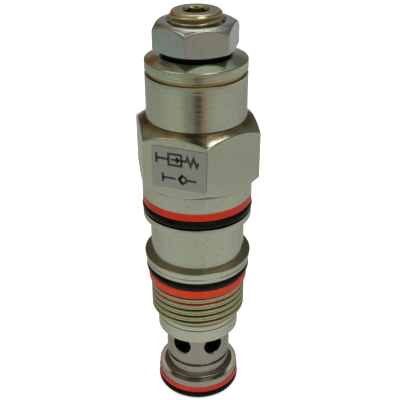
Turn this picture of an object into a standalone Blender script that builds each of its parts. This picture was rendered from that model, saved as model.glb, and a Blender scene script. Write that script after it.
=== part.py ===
"""Screw-in hydraulic cartridge valve: a pilot-assisted load-holding valve for a three-port cavity.

The valve stands on its nose. The origin is the centre of the nose tip and +Z runs up the valve's axis to
the adjusting screw. The hexagon has a flat square to -Y, which carries the label. Lengths are in metres.
"""

import math

import bmesh
import bpy

MM = 0.001

# Standard sizes that drive the outside
HEX_ACROSS_FLATS = 22.225 * MM  # 7/8 inch wrench size
NUT_ACROSS_FLATS = 14.288 * MM  # 9/16 inch wrench size
SOCKET_ACROSS_FLATS = 3.969 * MM  # 5/32 inch key
CAVITY_PITCH = 1.5 * MM  # M20 x 1.5 cavity thread
SCREW_PITCH = 1.058 * MM  # 3/8-24 adjusting thread
CHAMFER_SLOPE = math.tan(math.radians(30))  # upper chamfer of both hexagons
HEX_FOOT_SLOPE = math.tan(math.radians(38))  # lower chamfer of the body's hexagon
NUT_FOOT_SLOPE = math.tan(math.radians(20))  # lower chamfer of the nut
NUT_TURN = math.radians(36)  # angle of the nut's first corner
SOCKET_TURN = math.radians(19)  # angle of the key socket's first corner
PORT_TURN = math.radians(19.7)  # angle of the first side port
PILOT_TURN = math.radians(6)  # angle of the pilot orifice

# Clearances
FACE_GAP = 0.1 * MM  # between faces that rest on each other
JOINT_GAP = 0.24 * MM  # open joint between the sleeve and the nose piece
SLIDE_GAP = 0.15 * MM  # radial, round a sliding piece
RING_GAP = 0.04 * MM  # between a seal and its groove

# Radii of the outside
NOSE_LIP_R = 8.0 * MM
NOSE_FLANGE_R = 8.62 * MM
NOSE_NECK_R = 6.85 * MM
SLEEVE_R = 6.88 * MM
COLLAR_R = 8.62 * MM
THREAD_CREST_R = 9.86 * MM
THREAD_ROOT_R = 9.1 * MM
FLANGE_LOW_R = 10.65 * MM
FLANGE_TOP_R = 10.95 * MM
WAIST_R = 9.55 * MM
LAND_R = 10.92 * MM
CAP_R = 9.65 * MM
CAP_TOP_R = 7.3 * MM
SCREW_CREST_R = 4.85 * MM
SCREW_ROOT_R = 4.3 * MM

# Heights of the outside, from the nose upwards
NOSE_GLAND_Z = 0.75 * MM
NOSE_FLANGE_Z = (3.78 * MM, 5.37 * MM)
SLEEVE_FOOT_Z = 8.3 * MM
PORT_Z = 13.52 * MM
COLLAR_Z = (16.33 * MM, 19.25 * MM)
THREAD_Z = (21.2 * MM, 28.85 * MM)
FLANGE_Z = (32.8 * MM, 35.06 * MM)
WAIST_Z = (35.76 * MM, 43.65 * MM)
UPPER_GLAND_Z = (45.2 * MM, 48.9 * MM)
HEX_CORNER_Z = (53.6 * MM, 62.95 * MM)
CAP_GROOVE_Z = (73.4 * MM, 74.24 * MM)
CAP_TOP_Z = (75.9 * MM, 76.9 * MM)
NUT_Z = (77.7 * MM, 82.95 * MM)
SCREW_TOP_Z = 84.75 * MM

# Bores, by the piece that runs in them
COLLAR_SEAT_R = 7.65 * MM
STEM_R = 4.05 * MM
PISTON_R = 5.05 * MM
SPRING_BORE_R = 6.4 * MM
SPIGOT_R = 8.35 * MM
CAP_BORE_R = 6.2 * MM
CHECK_BORE_R = 5.3 * MM
CHECK_SEAT_R = 5.15 * MM
SEAT_THROAT_R = 2.8 * MM
SLEEVE_BORE_R = 4.75 * MM
NOSE_PORT_R = 3.6 * MM
PORT_HOLE_R = 2.14 * MM
PILOT_HOLE_R = 0.6 * MM

# Heights of the inner stack
NOSE_LEDGE_Z = 1.2 * MM
CHECK_SEAT_Z = (6.0 * MM, 10.35 * MM)
SPIGOT_TOP_Z = 9.55 * MM
STEM_BORE_Z = (22.5 * MM, 30.0 * MM)
PISTON_Z = (38.5 * MM, 44.0 * MM)
SPRING_BORE_Z = 46.0 * MM
CAP_SPIGOT_Z = 56.1 * MM
LOWER_SEAT_Z = 46.6 * MM
SEAT_FACE_Z = 48.3 * MM
UPPER_SEAT_Z = (64.5 * MM, 68.2 * MM)
CAP_ROOF_Z = 72.2 * MM

AROUND = 32  # segments round the large turned pieces
AROUND_INNER = 24  # segments round the small ones
LONG = 100 * MM  # longer than the valve, for cutters that go right through


def corner_radius(across_flats):
    return across_flats / math.sqrt(3)


# ---------------------------------------------------------------- scene, finishes and collections


def clear_scene():
    for obj in list(bpy.data.objects):
        bpy.data.objects.remove(obj, do_unlink=True)


def new_collection(name):
    collection = bpy.data.collections.new(name)
    bpy.context.scene.collection.children.link(collection)
    return collection


def finish(name, colour, roughness, metallic):
    """A Principled surface with one colour, roughness and metallic value."""
    material = bpy.data.materials.new(name)
    material.use_nodes = True
    shader = material.node_tree.nodes["Principled BSDF"]
    shader.inputs["Base Color"].default_value = (*colour, 1.0)
    shader.inputs["Roughness"].default_value = roughness
    shader.inputs["Metallic"].default_value = metallic
    return material


clear_scene()
PARTS = new_collection("Cartridge valve")
CUTTERS = new_collection("Cutters")

ZINC = finish("Zinc plate", (0.56, 0.57, 0.50), 0.34, 1.0)
GROUND_STEEL = finish("Ground steel", (0.47, 0.45, 0.41), 0.30, 1.0)
GOLD_ZINC = finish("Yellow zinc plate", (0.62, 0.52, 0.33), 0.32, 1.0)
NUT_ZINC = finish("Blue zinc plate", (0.58, 0.61, 0.60), 0.28, 1.0)
HARD_STEEL = finish("Hardened steel", (0.52, 0.52, 0.52), 0.22, 1.0)
SPRING_STEEL = finish("Spring steel", (0.30, 0.30, 0.31), 0.35, 1.0)
SEAL_RUBBER = finish("Seal rubber", (0.015, 0.015, 0.016), 0.40, 0.0)
BACKUP_RED = finish("Backup ring plastic", (0.60, 0.06, 0.03), 0.45, 0.0)
LABEL_FOIL = finish("Label foil", (0.50, 0.51, 0.50), 0.45, 0.6)


# ---------------------------------------------------------------- shape helpers


def place(obj, collection, material=None):
    """Move an object into one of the two collections and give it its finish."""
    for home in list(obj.users_collection):
        home.objects.unlink(obj)
    collection.objects.link(obj)
    if collection is CUTTERS:
        obj.hide_render = True
        obj.display_type = "WIRE"
    if material is not None:
        obj.data.materials.clear()
        obj.data.materials.append(material)
    return obj


def smooth(obj):
    obj.data.shade_smooth()
    obj.data.set_sharp_from_angle(angle=math.radians(30))


def turned(name, outline, material, around=AROUND, collection=PARTS):
    """Turn an outline of (radius, height) points about Z.

    The outline runs down its outer side. It is closed for a ring, and open for a piece that is solid on
    the axis, where it starts and ends at radius 0.
    """
    mesh = bpy.data.meshes.new(name)
    count = len(outline)
    on_axis = outline[0][0] == 0.0
    edges = [(i, (i + 1) % count) for i in range(count - 1 if on_axis else count)]
    mesh.from_pydata([(radius, 0.0, height) for radius, height in outline], edges, [])
    obj = bpy.data.objects.new(name, mesh)
    turn = obj.modifiers.new("Turn", "SCREW")
    turn.axis = "Z"
    turn.angle = math.tau
    turn.steps = around
    turn.render_steps = around
    turn.use_merge_vertices = True
    turn.merge_threshold = 0.00001
    turn.use_smooth_shade = True
    return place(obj, collection, material)


def arc(centre, radius, start, end, steps=4):
    """Points along a circular arc in the (radius, height) plane, from one angle in degrees to another."""
    points = []
    for i in range(steps + 1):
        angle = math.radians(start + (end - start) * i / steps)
        points.append((centre[0] + radius * math.cos(angle), centre[1] + radius * math.sin(angle)))
    return points


def cylinder(name, radius, low, high, around=AROUND_INNER):
    bpy.ops.mesh.primitive_cylinder_add(
        vertices=around, radius=radius, depth=high - low, location=(0.0, 0.0, (low + high) / 2)
    )
    obj = bpy.context.object
    obj.name = name
    return place(obj, CUTTERS)


def hexagon(name, across_flats, low, high, turn=0.0):
    """A six-sided bar along Z, whose first corner lies at the angle turn."""
    obj = cylinder(name, corner_radius(across_flats), low, high, around=6)
    obj.rotation_euler = (0.0, 0.0, turn - math.radians(90))  # a cylinder's first corner is at 90 degrees
    return obj


def cross_drill(name, radius, height, turn, low, high, around=16):
    """A drill that points out from the axis at one height, from one distance to another."""
    obj = cylinder(name, radius, low, high, around)
    middle = (low + high) / 2
    obj.rotation_euler = (0.0, math.radians(90), turn)
    obj.location = (middle * math.cos(turn), middle * math.sin(turn), height)
    return obj


def combine(obj, operation, other):
    step = obj.modifiers.new(f"{operation.title()} {other.name}", "BOOLEAN")
    step.operation = operation
    step.solver = "EXACT"
    step.object = other


def thread_ridge(name, root, crest, pitch, start, turns, around, envelope):
    """One continuous helical ridge, with its foot sunk a little below the root so that it joins the core.

    start is the height of the ridge's middle at angle 0, and envelope is the outline of a solid of
    revolution that the ridge's ends are trimmed to.
    """
    sunk = root - 0.25 * pitch
    foot = 0.44 * pitch
    tip = 0.10 * pitch
    section = ((crest, tip), (crest, -tip), (root, -foot), (sunk, -foot), (sunk, foot), (root, foot))
    mesh = bpy.data.meshes.new(name)
    edges = [(i, (i + 1) % len(section)) for i in range(len(section))]
    mesh.from_pydata([(radius, 0.0, start + height) for radius, height in section], edges, [])
    guide = bpy.data.objects.new(name + "_guide", mesh)
    place(guide, CUTTERS)
    helix = guide.modifiers.new("Helix", "SCREW")
    helix.axis = "Z"
    helix.angle = turns * math.tau
    helix.screw_offset = turns * pitch
    helix.steps = round(turns * around)
    helix.render_steps = helix.steps
    helix.use_merge_vertices = True
    helix.merge_threshold = 0.00001
    bpy.context.view_layer.update()
    swept = bpy.data.meshes.new_from_object(guide.evaluated_get(bpy.context.evaluated_depsgraph_get()))
    bpy.data.objects.remove(guide, do_unlink=True)
    shape = bmesh.new()
    shape.from_mesh(swept)
    bmesh.ops.holes_fill(shape, edges=[edge for edge in shape.edges if edge.is_boundary], sides=0)
    bmesh.ops.recalc_face_normals(shape, faces=shape.faces)
    shape.to_mesh(swept)
    shape.free()
    ridge = place(bpy.data.objects.new(name, swept), CUTTERS)
    combine(ridge, "INTERSECT", turned(name + "_envelope", envelope, None, around, CUTTERS))
    return ridge


def ring_seal(name, groove_floor, surface, middle, room, material=SEAL_RUBBER, around=AROUND, sides=8):
    """A round-section ring between a groove floor and the radius it seals at, in a groove this wide."""
    section = min(abs(surface - groove_floor) / 2, room / 2) - RING_GAP
    centre = groove_floor + math.copysign(section + RING_GAP, surface - groove_floor)
    bpy.ops.mesh.primitive_torus_add(
        major_radius=centre,
        minor_radius=section,
        major_segments=around,
        minor_segments=sides,
        location=(0.0, 0.0, middle),
    )
    obj = bpy.context.object
    obj.name = name
    smooth(obj)
    return place(obj, PARTS, material)


def flat_ring(name, inner, outer, low, high, material, around=AROUND):
    """A ring of rectangular section with small broken edges on its outside."""
    edge = 0.12 * MM
    outline = [
        (outer - edge, high),
        (outer, high - edge),
        (outer, low + edge),
        (outer - edge, low),
        (inner, low),
        (inner, high),
    ]
    return turned(name, outline, material, around)


def coil_spring(name, mean_radius, wire, low, high, turns, material, points_per_turn=15):
    """A compression spring whose first and last turns lie flat against the turns next to them."""
    closed_pitch = wire * 1.08
    bottom = low + wire / 2
    top = high - wire / 2
    open_turns = turns - 2
    open_pitch = (top - bottom - 2 * closed_pitch) / open_turns
    total = round(turns * points_per_turn)
    curve = bpy.data.curves.new(name, "CURVE")
    curve.dimensions = "3D"
    curve.bevel_depth = wire / 2
    curve.bevel_resolution = 2
    curve.use_fill_caps = True
    spline = curve.splines.new("POLY")
    spline.points.add(total)
    for i, point in enumerate(spline.points):
        turn = turns * i / total
        closed = min(turn, 1.0) + max(turn - (turns - 1), 0.0)
        opened = min(max(turn - 1.0, 0.0), open_turns)
        angle = math.tau * turn
        height = bottom + closed * closed_pitch + opened * open_pitch
        point.co = (mean_radius * math.cos(angle), mean_radius * math.sin(angle), height, 1.0)
    return place(bpy.data.objects.new(name, curve), PARTS, material)


# ---------------------------------------------------------------- stationary pieces


def make_hex_body():
    """Hexagon, upper land, waist, locating flange and cavity thread, bored right through."""
    over_corner = corner_radius(HEX_ACROSS_FLATS) + 0.4 * MM
    upper_edge = HEX_CORNER_Z[1] + (corner_radius(HEX_ACROSS_FLATS) - CAP_R) * CHAMFER_SLOPE
    lower_edge = HEX_CORNER_Z[0] - (corner_radius(HEX_ACROSS_FLATS) - LAND_R) * HEX_FOOT_SLOPE
    upper_floor = 9.1 * MM
    middle_floor = 8.65 * MM
    lip_edge = 0.2 * MM
    run_out = (0.45 * MM, 0.5 * MM)  # radius and height of the cone between the thread and the gland
    piston_bore = PISTON_R + SLIDE_GAP
    stem_bore = STEM_R + SLIDE_GAP
    seal_groove = (25.2 * MM, 26.9 * MM)
    seal_floor = stem_bore + 1.0 * MM
    outline = [
        (SPIGOT_R + FACE_GAP, upper_edge),
        (CAP_R, upper_edge),
        (over_corner, upper_edge - (over_corner - CAP_R) * CHAMFER_SLOPE),
        (over_corner, lower_edge + (over_corner - LAND_R) * HEX_FOOT_SLOPE),
        (LAND_R, lower_edge),
        (LAND_R, UPPER_GLAND_Z[1]),
        (upper_floor, UPPER_GLAND_Z[1]),
        (upper_floor, UPPER_GLAND_Z[0]),
        (LAND_R, UPPER_GLAND_Z[0]),
        (LAND_R, WAIST_Z[1] + lip_edge),
        (LAND_R - lip_edge, WAIST_Z[1]),
        (WAIST_R, WAIST_Z[1]),
        (WAIST_R, WAIST_Z[0]),
        (FLANGE_TOP_R, FLANGE_Z[1]),
        (FLANGE_LOW_R, FLANGE_Z[0]),
        (middle_floor, FLANGE_Z[0]),
        (middle_floor, THREAD_Z[1]),
        (THREAD_ROOT_R + run_out[0], THREAD_Z[1]),
        (THREAD_ROOT_R, THREAD_Z[1] - run_out[1]),
        (THREAD_ROOT_R, THREAD_Z[0] + THREAD_ROOT_R - COLLAR_R),
        (COLLAR_R, THREAD_Z[0]),
        (COLLAR_R, COLLAR_Z[1] + FACE_GAP),
        (COLLAR_SEAT_R, COLLAR_Z[1] + FACE_GAP),
        (COLLAR_SEAT_R, STEM_BORE_Z[0]),
        (stem_bore, STEM_BORE_Z[0]),
        (stem_bore, seal_groove[0]),
        (seal_floor, seal_groove[0]),
        (seal_floor, seal_groove[1]),
        (stem_bore, seal_groove[1]),
        (stem_bore, STEM_BORE_Z[1]),
        (piston_bore, STEM_BORE_Z[1] + 0.6 * MM),
        (piston_bore, SPRING_BORE_Z),
        (SPRING_BORE_R, SPRING_BORE_Z),
        (SPRING_BORE_R, CAP_SPIGOT_Z - FACE_GAP),
        (SPIGOT_R + FACE_GAP, CAP_SPIGOT_Z - FACE_GAP),
    ]
    body = turned("hex_body", outline, ZINC)
    combine(body, "INTERSECT", hexagon("hex_bar", HEX_ACROSS_FLATS, -LONG, LONG))
    lead = COLLAR_R + 0.15 * MM  # the ridge's start follows the lead-in chamfer, this far out
    over_crest = THREAD_CREST_R + 0.1 * MM
    envelope = [
        (0.0, THREAD_Z[1] - 0.2 * MM),
        (over_crest, THREAD_Z[1] - 0.2 * MM),
        (over_crest, THREAD_Z[0] + over_crest - lead),
        (lead, THREAD_Z[0]),
        (0.0, THREAD_Z[0]),
    ]
    ridge_start = 20.66 * MM
    ridge = thread_ridge(
        "cavity_thread", THREAD_ROOT_R, THREAD_CREST_R, CAVITY_PITCH, ridge_start, 5, AROUND, envelope
    )
    combine(body, "UNION", ridge)
    pilot_height = WAIST_Z[0] + 0.75 * MM
    pilot = cross_drill("pilot_drill", PILOT_HOLE_R, pilot_height, PILOT_TURN, -15 * MM, 15 * MM, 12)
    combine(body, "DIFFERENCE", pilot)
    middle = sum(seal_groove) / 2
    ring_seal("stem_o_ring", seal_floor, STEM_R, middle, 1.7 * MM, around=AROUND_INNER, sides=6)
    return upper_floor, middle_floor


def make_outer_seals(upper_floor, middle_floor):
    """The three black rings and their red backup rings, in the two body glands and the nose gland."""
    upper_split = 47.2 * MM
    middle_split = 30.7 * MM
    nose_split = 2.6 * MM
    nose_floor = 7.1 * MM
    upper_middle = (UPPER_GLAND_Z[0] + upper_split) / 2
    middle_middle = (middle_split + FLANGE_Z[0]) / 2
    nose_middle = (NOSE_GLAND_Z + nose_split) / 2
    ring_seal("o_ring_upper", upper_floor, 11.23 * MM, upper_middle, upper_split - UPPER_GLAND_Z[0])
    ring_seal("o_ring_middle", middle_floor, 10.78 * MM, middle_middle, FLANGE_Z[0] - middle_split)
    ring_seal("o_ring_nose", nose_floor, 8.97 * MM, nose_middle, nose_split - NOSE_GLAND_Z)
    gap = 0.05 * MM
    rings = (
        ("backup_ring_upper", upper_floor, LAND_R, upper_split, UPPER_GLAND_Z[1]),
        ("backup_ring_middle", middle_floor, 10.3 * MM, THREAD_Z[1], middle_split),
        ("backup_ring_nose", nose_floor, 8.8 * MM, nose_split, NOSE_FLANGE_Z[0]),
    )
    for name, floor, outer, low, high in rings:
        flat_ring(name, floor + 2 * gap, outer, low + gap, high - gap, BACKUP_RED)
    return nose_floor


def make_retaining_collar():
    """Ring pressed into the lower end of the body, which holds the sleeve's shoulder loosely."""
    spigot_top = COLLAR_Z[1] + 1.05 * MM
    spigot_r = COLLAR_SEAT_R - FACE_GAP
    outline = [
        (spigot_r, spigot_top),
        (spigot_r, COLLAR_Z[1]),
        (COLLAR_R, COLLAR_Z[1]),
        (COLLAR_R, COLLAR_Z[0] + 0.1 * MM),
        (COLLAR_R - 0.1 * MM, COLLAR_Z[0]),
        (SLEEVE_R + FACE_GAP, COLLAR_Z[0]),
        (SLEEVE_R + FACE_GAP, spigot_top),
    ]
    turned("retaining_collar", outline, ZINC)
    return spigot_top


def make_port_sleeve(shoulder_low):
    """Ported sleeve below the thread, with six side ports and a shoulder that the collar holds."""
    top = STEM_BORE_Z[0] - 2 * FACE_GAP
    shoulder_r = COLLAR_SEAT_R - SLIDE_GAP
    counterbore_top = SPIGOT_TOP_Z + 2 * FACE_GAP
    outline = [
        (shoulder_r, top),
        (shoulder_r, shoulder_low + 2 * FACE_GAP),
        (SLEEVE_R, shoulder_low + 2 * FACE_GAP),
        (SLEEVE_R, SLEEVE_FOOT_Z + 0.85 * MM),
        (SLEEVE_R - 0.15 * MM, SLEEVE_FOOT_Z + JOINT_GAP / 2),
        (NOSE_NECK_R - 0.75 * MM, SLEEVE_FOOT_Z + JOINT_GAP / 2),
        (NOSE_NECK_R - 0.75 * MM, counterbore_top),
        (CHECK_BORE_R, counterbore_top),
        (CHECK_BORE_R, CHECK_SEAT_Z[1] + FACE_GAP),
        (SLEEVE_BORE_R, CHECK_SEAT_Z[1] + FACE_GAP),
        (SLEEVE_BORE_R, top),
    ]
    sleeve = turned("port_sleeve", outline, GROUND_STEEL)
    for i in range(6):
        turn = PORT_TURN + i * math.tau / 6
        drill = cross_drill(f"port_drill_{i + 1}", PORT_HOLE_R, PORT_Z, turn, 2 * MM, 12 * MM)
        combine(sleeve, "DIFFERENCE", drill)


def make_nose_retainer(nose_floor):
    """Nose piece with the lower seal gland, a flange and the bore that the check seat slides in."""
    fillet = 0.8 * MM
    foot = 0.4 * MM
    outline = [
        (NOSE_NECK_R - 0.85 * MM, SPIGOT_TOP_Z),
        (NOSE_NECK_R - 0.85 * MM, SLEEVE_FOOT_Z - JOINT_GAP / 2),
        (NOSE_NECK_R, SLEEVE_FOOT_Z - JOINT_GAP / 2),
        *arc((NOSE_NECK_R + fillet, NOSE_FLANGE_Z[1] + fillet), fillet, 180, 270),
        (NOSE_FLANGE_R, NOSE_FLANGE_Z[1]),
        (NOSE_FLANGE_R, NOSE_FLANGE_Z[0]),
        (nose_floor, NOSE_FLANGE_Z[0]),
        (nose_floor, NOSE_GLAND_Z),
        (NOSE_LIP_R, NOSE_GLAND_Z),
        (NOSE_LIP_R, foot),
        (NOSE_LIP_R - foot, 0.0),
        (NOSE_PORT_R + foot, 0.0),
        (NOSE_PORT_R, foot),
        (NOSE_PORT_R, NOSE_LEDGE_Z),
        (CHECK_BORE_R, NOSE_LEDGE_Z),
        (CHECK_BORE_R, SPIGOT_TOP_Z),
    ]
    turned("nose_retainer", outline, GROUND_STEEL)


def make_adjust_cap():
    """Round cap on the hexagon, with a spigot in the body and the adjusting screw's hole in its roof."""
    groove_depth = 0.45 * MM
    seal_floor = 7.2 * MM
    seal_z = (58.5 * MM, 60.3 * MM)
    shoulder = HEX_CORNER_Z[1] + (corner_radius(HEX_ACROSS_FLATS) - CAP_R) * CHAMFER_SLOPE + FACE_GAP
    screw_hole = SCREW_CREST_R + 0.2 * MM
    rim = (0.15 * MM, 0.12 * MM)  # radius and height of the small bevel round the cap's top
    outline = [
        (screw_hole, CAP_TOP_Z[1]),
        (CAP_TOP_R, CAP_TOP_Z[1]),
        (CAP_R - rim[0], CAP_TOP_Z[0] + rim[1]),
        (CAP_R, CAP_TOP_Z[0]),
        (CAP_R, CAP_GROOVE_Z[1]),
        (CAP_R - groove_depth, CAP_GROOVE_Z[1]),
        (CAP_R - groove_depth, CAP_GROOVE_Z[0]),
        (CAP_R, CAP_GROOVE_Z[0]),
        (CAP_R, shoulder),
        (SPIGOT_R, shoulder),
        (SPIGOT_R, seal_z[1]),
        (seal_floor, seal_z[1]),
        (seal_floor, seal_z[0]),
        (SPIGOT_R, seal_z[0]),
        (SPIGOT_R, CAP_SPIGOT_Z),
        (CAP_BORE_R, CAP_SPIGOT_Z),
        (CAP_BORE_R, CAP_ROOF_Z),
        (screw_hole, CAP_ROOF_Z),
    ]
    turned("adjust_cap", outline, ZINC)
    ring_seal("cap_o_ring", seal_floor, SPIGOT_R + FACE_GAP / 2, sum(seal_z) / 2, 1.8 * MM, sides=6)


def make_label():
    """Thin foil label on the -Y flat, set towards the +X corner."""
    left, right = -4.6 * MM, 6.15 * MM
    low, high = 54.2 * MM, 62.4 * MM
    thickness = 0.12 * MM
    bpy.ops.mesh.primitive_cube_add(size=1.0)
    label = bpy.context.object
    label.name = "identification_label"
    label.scale = (right - left, thickness, high - low)
    bpy.ops.object.transform_apply(location=False, rotation=False, scale=True)
    glue = 0.02 * MM
    outward = HEX_ACROSS_FLATS / 2 + glue + thickness / 2
    label.location = ((left + right) / 2, -outward, (low + high) / 2)
    place(label, PARTS, LABEL_FOIL)


# ---------------------------------------------------------------- adjuster


def make_adjusting_screw():
    """Setting screw with a key socket and an open thread above the nut."""
    foot = UPPER_SEAT_Z[1] + FACE_GAP
    plain_top = 80.0 * MM
    face_r = 3.9 * MM
    socket_floor = SCREW_TOP_Z - 4.2 * MM
    tail_r = 3.0 * MM
    plain_r = SCREW_CREST_R - 0.05 * MM
    plain_foot = foot + 0.7 * MM
    outline = [
        (0.0, SCREW_TOP_Z),
        (face_r, SCREW_TOP_Z),
        (SCREW_ROOT_R, SCREW_TOP_Z - 0.35 * MM),
        (SCREW_ROOT_R, plain_top + 0.4 * MM),
        (plain_r, plain_top),
        (plain_r, plain_foot + 0.6 * MM),
        (SCREW_ROOT_R, plain_foot),
        (tail_r, plain_foot),
        (tail_r, foot),
        (0.0, foot),
    ]
    screw = turned("adjusting_screw", outline, GOLD_ZINC, AROUND_INNER)
    over_crest = SCREW_CREST_R + 0.1 * MM
    envelope = [
        (0.0, SCREW_TOP_Z - 0.05 * MM),
        (face_r + 0.1 * MM, SCREW_TOP_Z - 0.05 * MM),
        (over_crest, SCREW_TOP_Z - 0.95 * MM),
        (over_crest, plain_top + 0.1 * MM),
        (0.0, plain_top + 0.1 * MM),
    ]
    ridge_start = 80.09 * MM
    ridge = thread_ridge(
        "adjusting_thread", SCREW_ROOT_R, SCREW_CREST_R, SCREW_PITCH, ridge_start, 4, AROUND_INNER, envelope
    )
    combine(screw, "UNION", ridge)
    combine(screw, "DIFFERENCE", hexagon("key_socket", SOCKET_ACROSS_FLATS, socket_floor, LONG, SOCKET_TURN))
    mouth = 2.55 * MM
    countersink = turned(
        "socket_mouth",
        [
            (0.0, SCREW_TOP_Z + 1.0 * MM),
            (mouth, SCREW_TOP_Z + 1.0 * MM),
            (mouth, SCREW_TOP_Z),
            (mouth - 0.6 * MM, SCREW_TOP_Z - 0.4 * MM),
            (0.0, SCREW_TOP_Z - 0.4 * MM),
        ],
        None,
        AROUND_INNER,
        CUTTERS,
    )
    combine(screw, "DIFFERENCE", countersink)


def make_lock_nut():
    """Thin hexagon nut with chamfered corners, over a black sealing washer."""
    over_corner = corner_radius(NUT_ACROSS_FLATS) + 0.3 * MM
    face_r = 6.95 * MM
    hole = SCREW_CREST_R + 0.13 * MM
    upper_drop = (over_corner - face_r) * CHAMFER_SLOPE
    lower_rise = (over_corner - face_r) * NUT_FOOT_SLOPE
    mouth = 0.45 * MM
    outline = [
        (hole + mouth, NUT_Z[1]),
        (face_r, NUT_Z[1]),
        (over_corner, NUT_Z[1] - upper_drop),
        (over_corner, NUT_Z[0] + lower_rise),
        (face_r, NUT_Z[0]),
        (hole + mouth, NUT_Z[0]),
        (hole, NUT_Z[0] + mouth),
        (hole, NUT_Z[1] - mouth),
    ]
    nut = turned("lock_nut", outline, NUT_ZINC)
    combine(nut, "INTERSECT", hexagon("nut_bar", NUT_ACROSS_FLATS, -LONG, LONG, NUT_TURN))
    low = CAP_TOP_Z[1] + FACE_GAP / 2
    high = NUT_Z[0] - FACE_GAP / 2
    flat_ring("lock_nut_seal", hole + 0.1 * MM, face_r - 0.05 * MM, low, high, SEAL_RUBBER)


def make_upper_spring_seat():
    """Sliding seat that the screw presses on the spring, sealed in the cap's bore."""
    groove_z = (65.7 * MM, 67.1 * MM)
    groove_r = 5.1 * MM
    seat_r = CAP_BORE_R - SLIDE_GAP
    outline = [
        (0.0, UPPER_SEAT_Z[1]),
        (seat_r, UPPER_SEAT_Z[1]),
        (seat_r, groove_z[1]),
        (groove_r, groove_z[1]),
        (groove_r, groove_z[0]),
        (seat_r, groove_z[0]),
        (seat_r, UPPER_SEAT_Z[0]),
        (3.6 * MM, UPPER_SEAT_Z[0]),
        (3.4 * MM, UPPER_SEAT_Z[0] - 1.3 * MM),
        (0.0, UPPER_SEAT_Z[0] - 1.3 * MM),
    ]
    turned("upper_spring_seat", outline, HARD_STEEL, AROUND_INNER)
    surface = CAP_BORE_R - RING_GAP
    ring_seal(
        "adjuster_o_ring", groove_r, surface, sum(groove_z) / 2, 1.4 * MM, around=AROUND_INNER, sides=6
    )


# ---------------------------------------------------------------- valve elements


def make_springs():
    main_low = SEAT_FACE_Z + FACE_GAP
    main_high = UPPER_SEAT_Z[0] - FACE_GAP
    coil_spring("main_spring", 4.75 * MM, 1.5 * MM, main_low, main_high, 6.5, SPRING_STEEL)
    check_low = NOSE_LEDGE_Z + FACE_GAP
    check_high = CHECK_SEAT_Z[0] - FACE_GAP
    coil_spring("check_spring", 4.6 * MM, 0.7 * MM, check_low, check_high, 3.5, SPRING_STEEL, 14)


def make_poppet_piston():
    """Metering poppet, stem and pilot piston in one bar, with the piston's seal."""
    groove_z = (40.3 * MM, 42.0 * MM)
    groove_r = 4.0 * MM
    top = LOWER_SEAT_Z - FACE_GAP
    neck_r = 2.4 * MM
    neck_z = (12.0 * MM, 16.8 * MM)
    head_top = 10.95 * MM
    head_r = 3.6 * MM
    tip_r = 1.5 * MM
    seat_line = CHECK_SEAT_Z[1] - 0.8 * MM + 0.14 * MM  # height where the cone is as wide as the throat
    outline = [
        (0.0, top),
        (2.6 * MM, top),
        (2.6 * MM, PISTON_Z[1]),
        (PISTON_R, PISTON_Z[1]),
        (PISTON_R, groove_z[1]),
        (groove_r, groove_z[1]),
        (groove_r, groove_z[0]),
        (PISTON_R, groove_z[0]),
        (PISTON_R, PISTON_Z[0]),
        (STEM_R, PISTON_Z[0]),
        (STEM_R, neck_z[1] + 1.4 * MM),
        (neck_r, neck_z[1]),
        (neck_r, neck_z[0]),
        (head_r, head_top),
        (head_r, seat_line + head_r - SEAT_THROAT_R),
        (tip_r, seat_line + tip_r - SEAT_THROAT_R),
        (0.0, seat_line + tip_r - SEAT_THROAT_R),
    ]
    turned("poppet_piston", outline, HARD_STEEL, AROUND_INNER)
    surface = PISTON_R + SLIDE_GAP - RING_GAP
    ring_seal(
        "piston_o_ring", groove_r, surface, sum(groove_z) / 2, 1.7 * MM, around=AROUND_INNER, sides=6
    )


def make_lower_spring_seat():
    """Button between the spring and the top of the poppet's stem."""
    outline = [
        (0.0, SEAT_FACE_Z + 1.3 * MM),
        (3.4 * MM, SEAT_FACE_Z + 1.3 * MM),
        (3.6 * MM, SEAT_FACE_Z),
        (5.9 * MM, SEAT_FACE_Z),
        (5.9 * MM, LOWER_SEAT_Z + 0.3 * MM),
        (5.6 * MM, LOWER_SEAT_Z),
        (0.0, LOWER_SEAT_Z),
    ]
    turned("lower_spring_seat", outline, HARD_STEEL, AROUND_INNER)


def make_check_seat():
    """Sliding ring that is the poppet's seat and, pushed down by free flow, the check valve."""
    groove_z = (6.8 * MM, 8.0 * MM)
    groove_r = 4.35 * MM
    cone = 0.8 * MM
    outline = [
        (SEAT_THROAT_R + cone, CHECK_SEAT_Z[1]),
        (CHECK_SEAT_R, CHECK_SEAT_Z[1]),
        (CHECK_SEAT_R, groove_z[1]),
        (groove_r, groove_z[1]),
        (groove_r, groove_z[0]),
        (CHECK_SEAT_R, groove_z[0]),
        (CHECK_SEAT_R, CHECK_SEAT_Z[0]),
        (SEAT_THROAT_R + 0.2 * MM, CHECK_SEAT_Z[0]),
        (SEAT_THROAT_R, CHECK_SEAT_Z[0] + 0.2 * MM),
        (SEAT_THROAT_R, CHECK_SEAT_Z[1] - cone),
    ]
    turned("check_seat", outline, HARD_STEEL, AROUND_INNER)
    surface = CHECK_BORE_R - RING_GAP
    ring_seal(
        "check_seat_o_ring", groove_r, surface, sum(groove_z) / 2, 1.2 * MM, around=AROUND_INNER, sides=6
    )


def make_valve():
    upper_floor, middle_floor = make_hex_body()
    nose_floor = make_outer_seals(upper_floor, middle_floor)
    make_port_sleeve(make_retaining_collar())
    make_nose_retainer(nose_floor)
    make_adjust_cap()
    make_label()
    make_adjusting_screw()
    make_lock_nut()
    make_upper_spring_seat()
    make_springs()
    make_lower_spring_seat()
    make_poppet_piston()
    make_check_seat()
    axis = bpy.data.objects.new("valve_axis", None)
    PARTS.objects.link(axis)
    for obj in PARTS.objects:
        if obj is not axis:
            obj.parent = axis


make_valve()
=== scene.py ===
import math

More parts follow.
